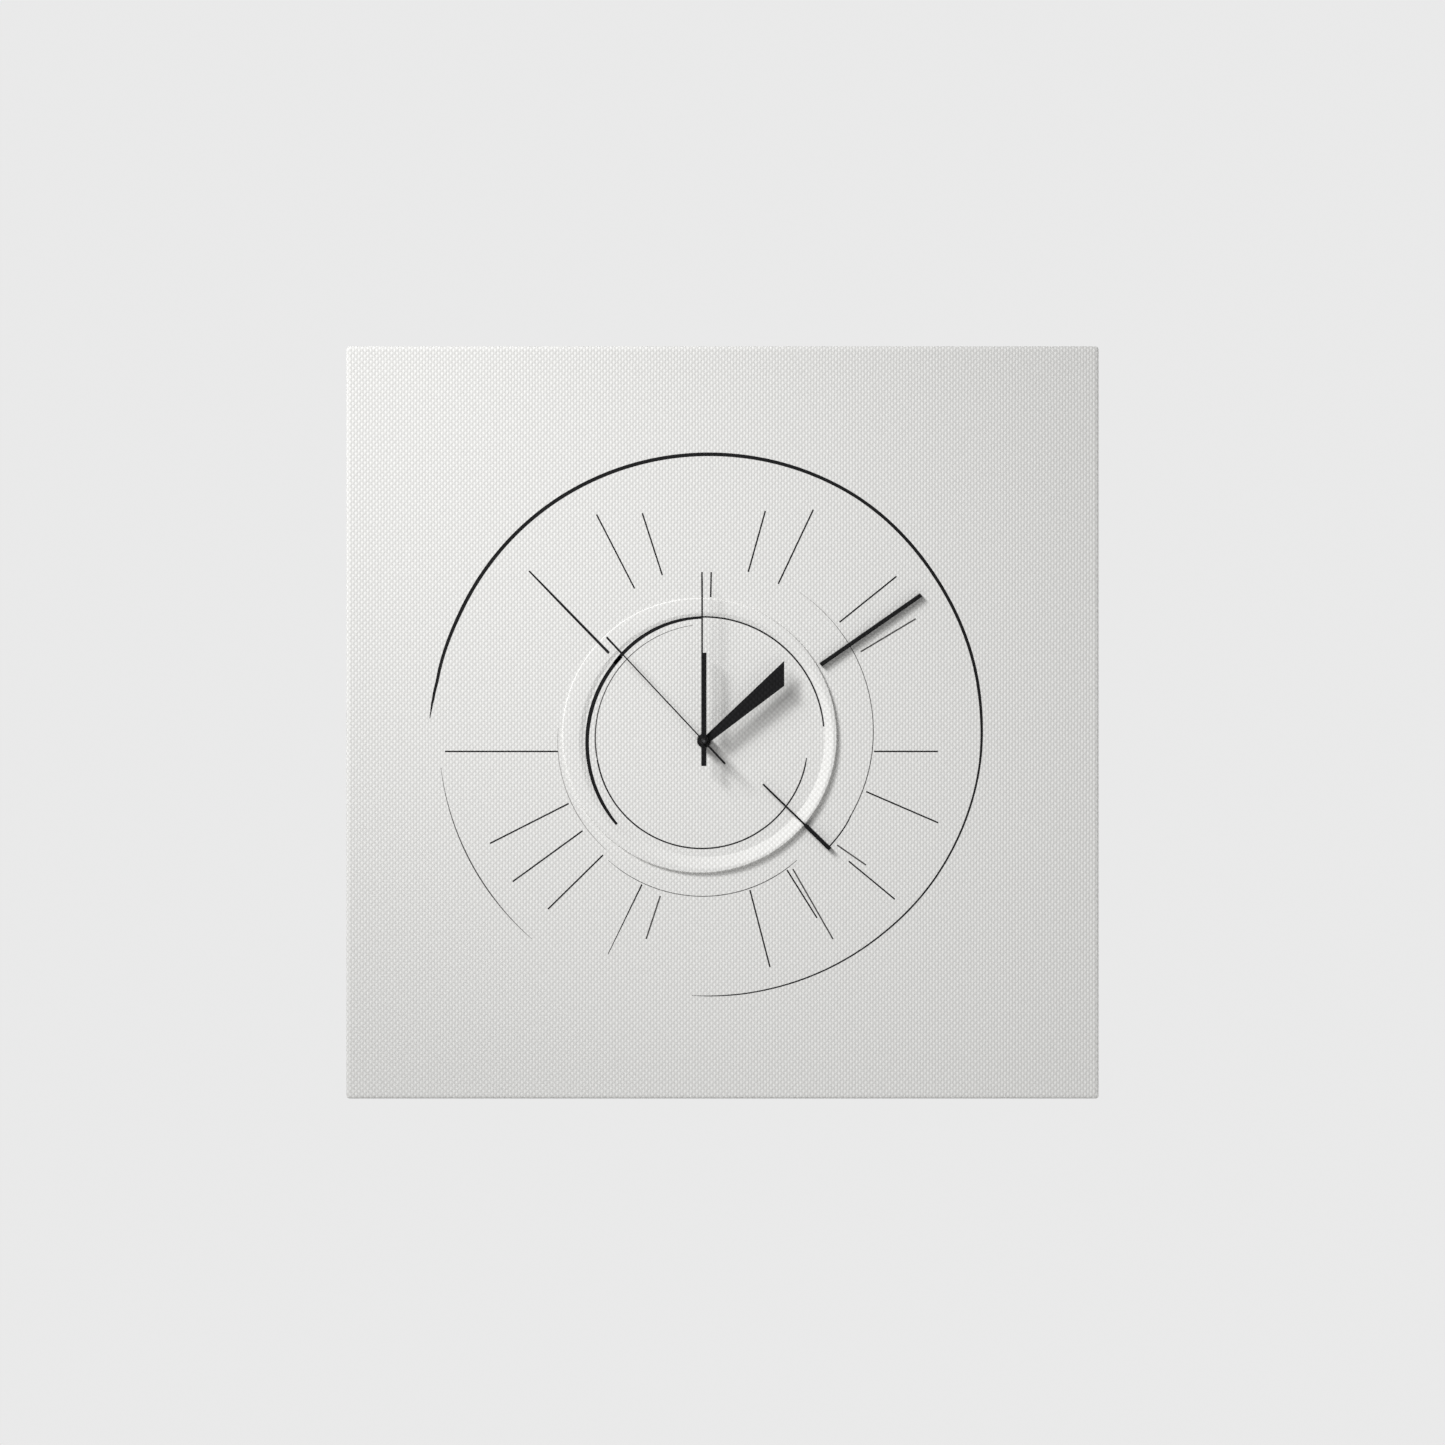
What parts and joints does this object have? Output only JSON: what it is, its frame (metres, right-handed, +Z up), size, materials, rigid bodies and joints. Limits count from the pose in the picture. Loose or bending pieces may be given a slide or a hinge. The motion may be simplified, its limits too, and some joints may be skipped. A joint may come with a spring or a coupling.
{
  "type": "canvas wall clock",
  "caption": "Square stretched-canvas wall clock with an off-centre dial, raised ring and battens, black hands and a battery quartz movement behind.",
  "frame": {"origin": "the point where the middle of the sawtooth hanger rests on its nail, in the plane of the wall", "axes": "+Z up, the face looks along -Y, the wall is the plane Y = 0, +X to the right as the face is seen"},
  "size_m": [0.4064, 0.0494, 0.4064],
  "materials": {
    "pine": "planed",
    "birch_ply": "sanded",
    "hardboard": "smooth pressed",
    "primed_canvas": "matte woven",
    "primed_relief": "matte",
    "black_batten": "matte",
    "black_hand": "matte",
    "black_hub": "satin",
    "zinc_steel": "zinc plated",
    "brass_hardware": "turned",
    "black_brass": "blackened",
    "gasket_rubber": "matte",
    "bumper_rubber": "matte",
    "black_case": "fine spark texture",
    "white_gear": "moulded",
    "magnet": "ground",
    "soft_iron": "stamped",
    "copper_wire": "enamelled",
    "bobbin_plastic": "moulded",
    "circuit_laminate": "satin",
    "chip_resin": "glossy",
    "nickel_strip": "nickel plated",
    "cell_wrap": "gloss film",
    "knob_plastic": "moulded",
    "arbor_steel": "polished"
  },
  "bodies": {
    "clock_body": {"stretcher_bar_top": "pine", "stretcher_bar_bottom": "pine", "stretcher_bar_left": "pine", "stretcher_bar_right": "pine", "corner_braces": "birch_ply", "glue_blocks": "pine", "dial_board": "hardboard", "canvas_cover": "primed_canvas", "canvas_staples": "zinc_steel", "wall_bumpers": "bumper_rubber", "sawtooth_hanger": "zinc_steel", "hanger_nails": "zinc_steel", "relief_ring": "primed_relief", "two_batten": "black_batten", "four_batten": "black_batten", "rubber_gasket": "gasket_rubber", "clamp_washer": "brass_hardware", "clamp_nut": "black_brass", "centre_bush": "black_brass", "movement_case": "black_case", "movement_front_plate": "black_case", "case_screws": "zinc_steel", "stator": "soft_iron", "coil_core": "soft_iron", "coil_bobbin": "bobbin_plastic", "coil_winding": "copper_wire", "circuit_board": "circuit_laminate", "quartz_crystal": "nickel_strip", "chip_blob": "chip_resin", "positive_contact": "nickel_strip", "negative_contact": "nickel_strip", "battery_spring": "nickel_strip"},
    "second_arbor": {"second_wheel": "arbor_steel", "second_hand": "black_hub"},
    "minute_arbor": {"centre_wheel": "white_gear", "cannon_pinion": "brass_hardware", "minute_hand": "black_hand"},
    "hour_pipe": {"hour_wheel": "white_gear", "hour_hand": "black_hand"},
    "third_arbor": {"third_wheel": "white_gear"},
    "step_gear": {"step_wheel": "white_gear"},
    "rotor": {"rotor_magnet": "magnet", "rotor_pinion": "white_gear"},
    "minute_work": {"minute_wheel": "white_gear"},
    "setting": {"setting_knob": "knob_plastic", "setting_gear": "white_gear"},
    "battery": {"battery_cell": "cell_wrap"}
  },
  "joints": [
    {"name": "second_hand_turn", "type": "hinge", "parent": "clock_body", "child": "second_arbor", "pos_m": [-0.01, -0.02, -0.1912], "axis": [0, 1, 0], "continuous": true},
    {"name": "minute_hand_turn", "type": "hinge", "parent": "clock_body", "child": "minute_arbor", "pos_m": [-0.01, -0.02, -0.1912], "axis": [0, 1, 0], "continuous": true},
    {"name": "hour_hand_turn", "type": "hinge", "parent": "clock_body", "child": "hour_pipe", "pos_m": [-0.01, -0.02, -0.1912], "axis": [0, 1, 0], "continuous": true},
    {"name": "third_wheel_turn", "type": "hinge", "parent": "clock_body", "child": "third_arbor", "pos_m": [-0.01883, -0.02, -0.1861], "axis": [0, 1, 0], "continuous": true},
    {"name": "step_wheel_turn", "type": "hinge", "parent": "clock_body", "child": "step_gear", "pos_m": [-0.0058, -0.02, -0.18393], "axis": [0, 1, 0], "continuous": true},
    {"name": "rotor_turn", "type": "hinge", "parent": "clock_body", "child": "rotor", "pos_m": [-0.0058, -0.02, -0.17733], "axis": [0, 1, 0], "continuous": true},
    {"name": "minute_wheel_turn", "type": "hinge", "parent": "clock_body", "child": "minute_work", "pos_m": [-0.00221, -0.02, -0.1867], "axis": [0, 1, 0], "continuous": true},
    {"name": "setting_knob_turn", "type": "hinge", "parent": "clock_body", "child": "setting", "pos_m": [0.00792, -0.02, -0.1867], "axis": [0, 1, 0], "continuous": true},
    {"name": "battery_out", "type": "slide", "parent": "clock_body", "child": "battery", "axis": [0, 1, 0], "range_m": [0, 0.03]}
  ],
  "couplings": [
    {"joint": "minute_hand_turn", "follows": "second_hand_turn", "ratio": 0.016667},
    {"joint": "hour_hand_turn", "follows": "second_hand_turn", "ratio": 0.0013889},
    {"joint": "third_wheel_turn", "follows": "second_hand_turn", "ratio": -0.13333},
    {"joint": "step_wheel_turn", "follows": "second_hand_turn", "ratio": -6},
    {"joint": "rotor_turn", "follows": "second_hand_turn", "ratio": 30},
    {"joint": "minute_wheel_turn", "follows": "second_hand_turn", "ratio": -0.0055556},
    {"joint": "setting_knob_turn", "follows": "second_hand_turn", "ratio": 0.011111}
  ]
}
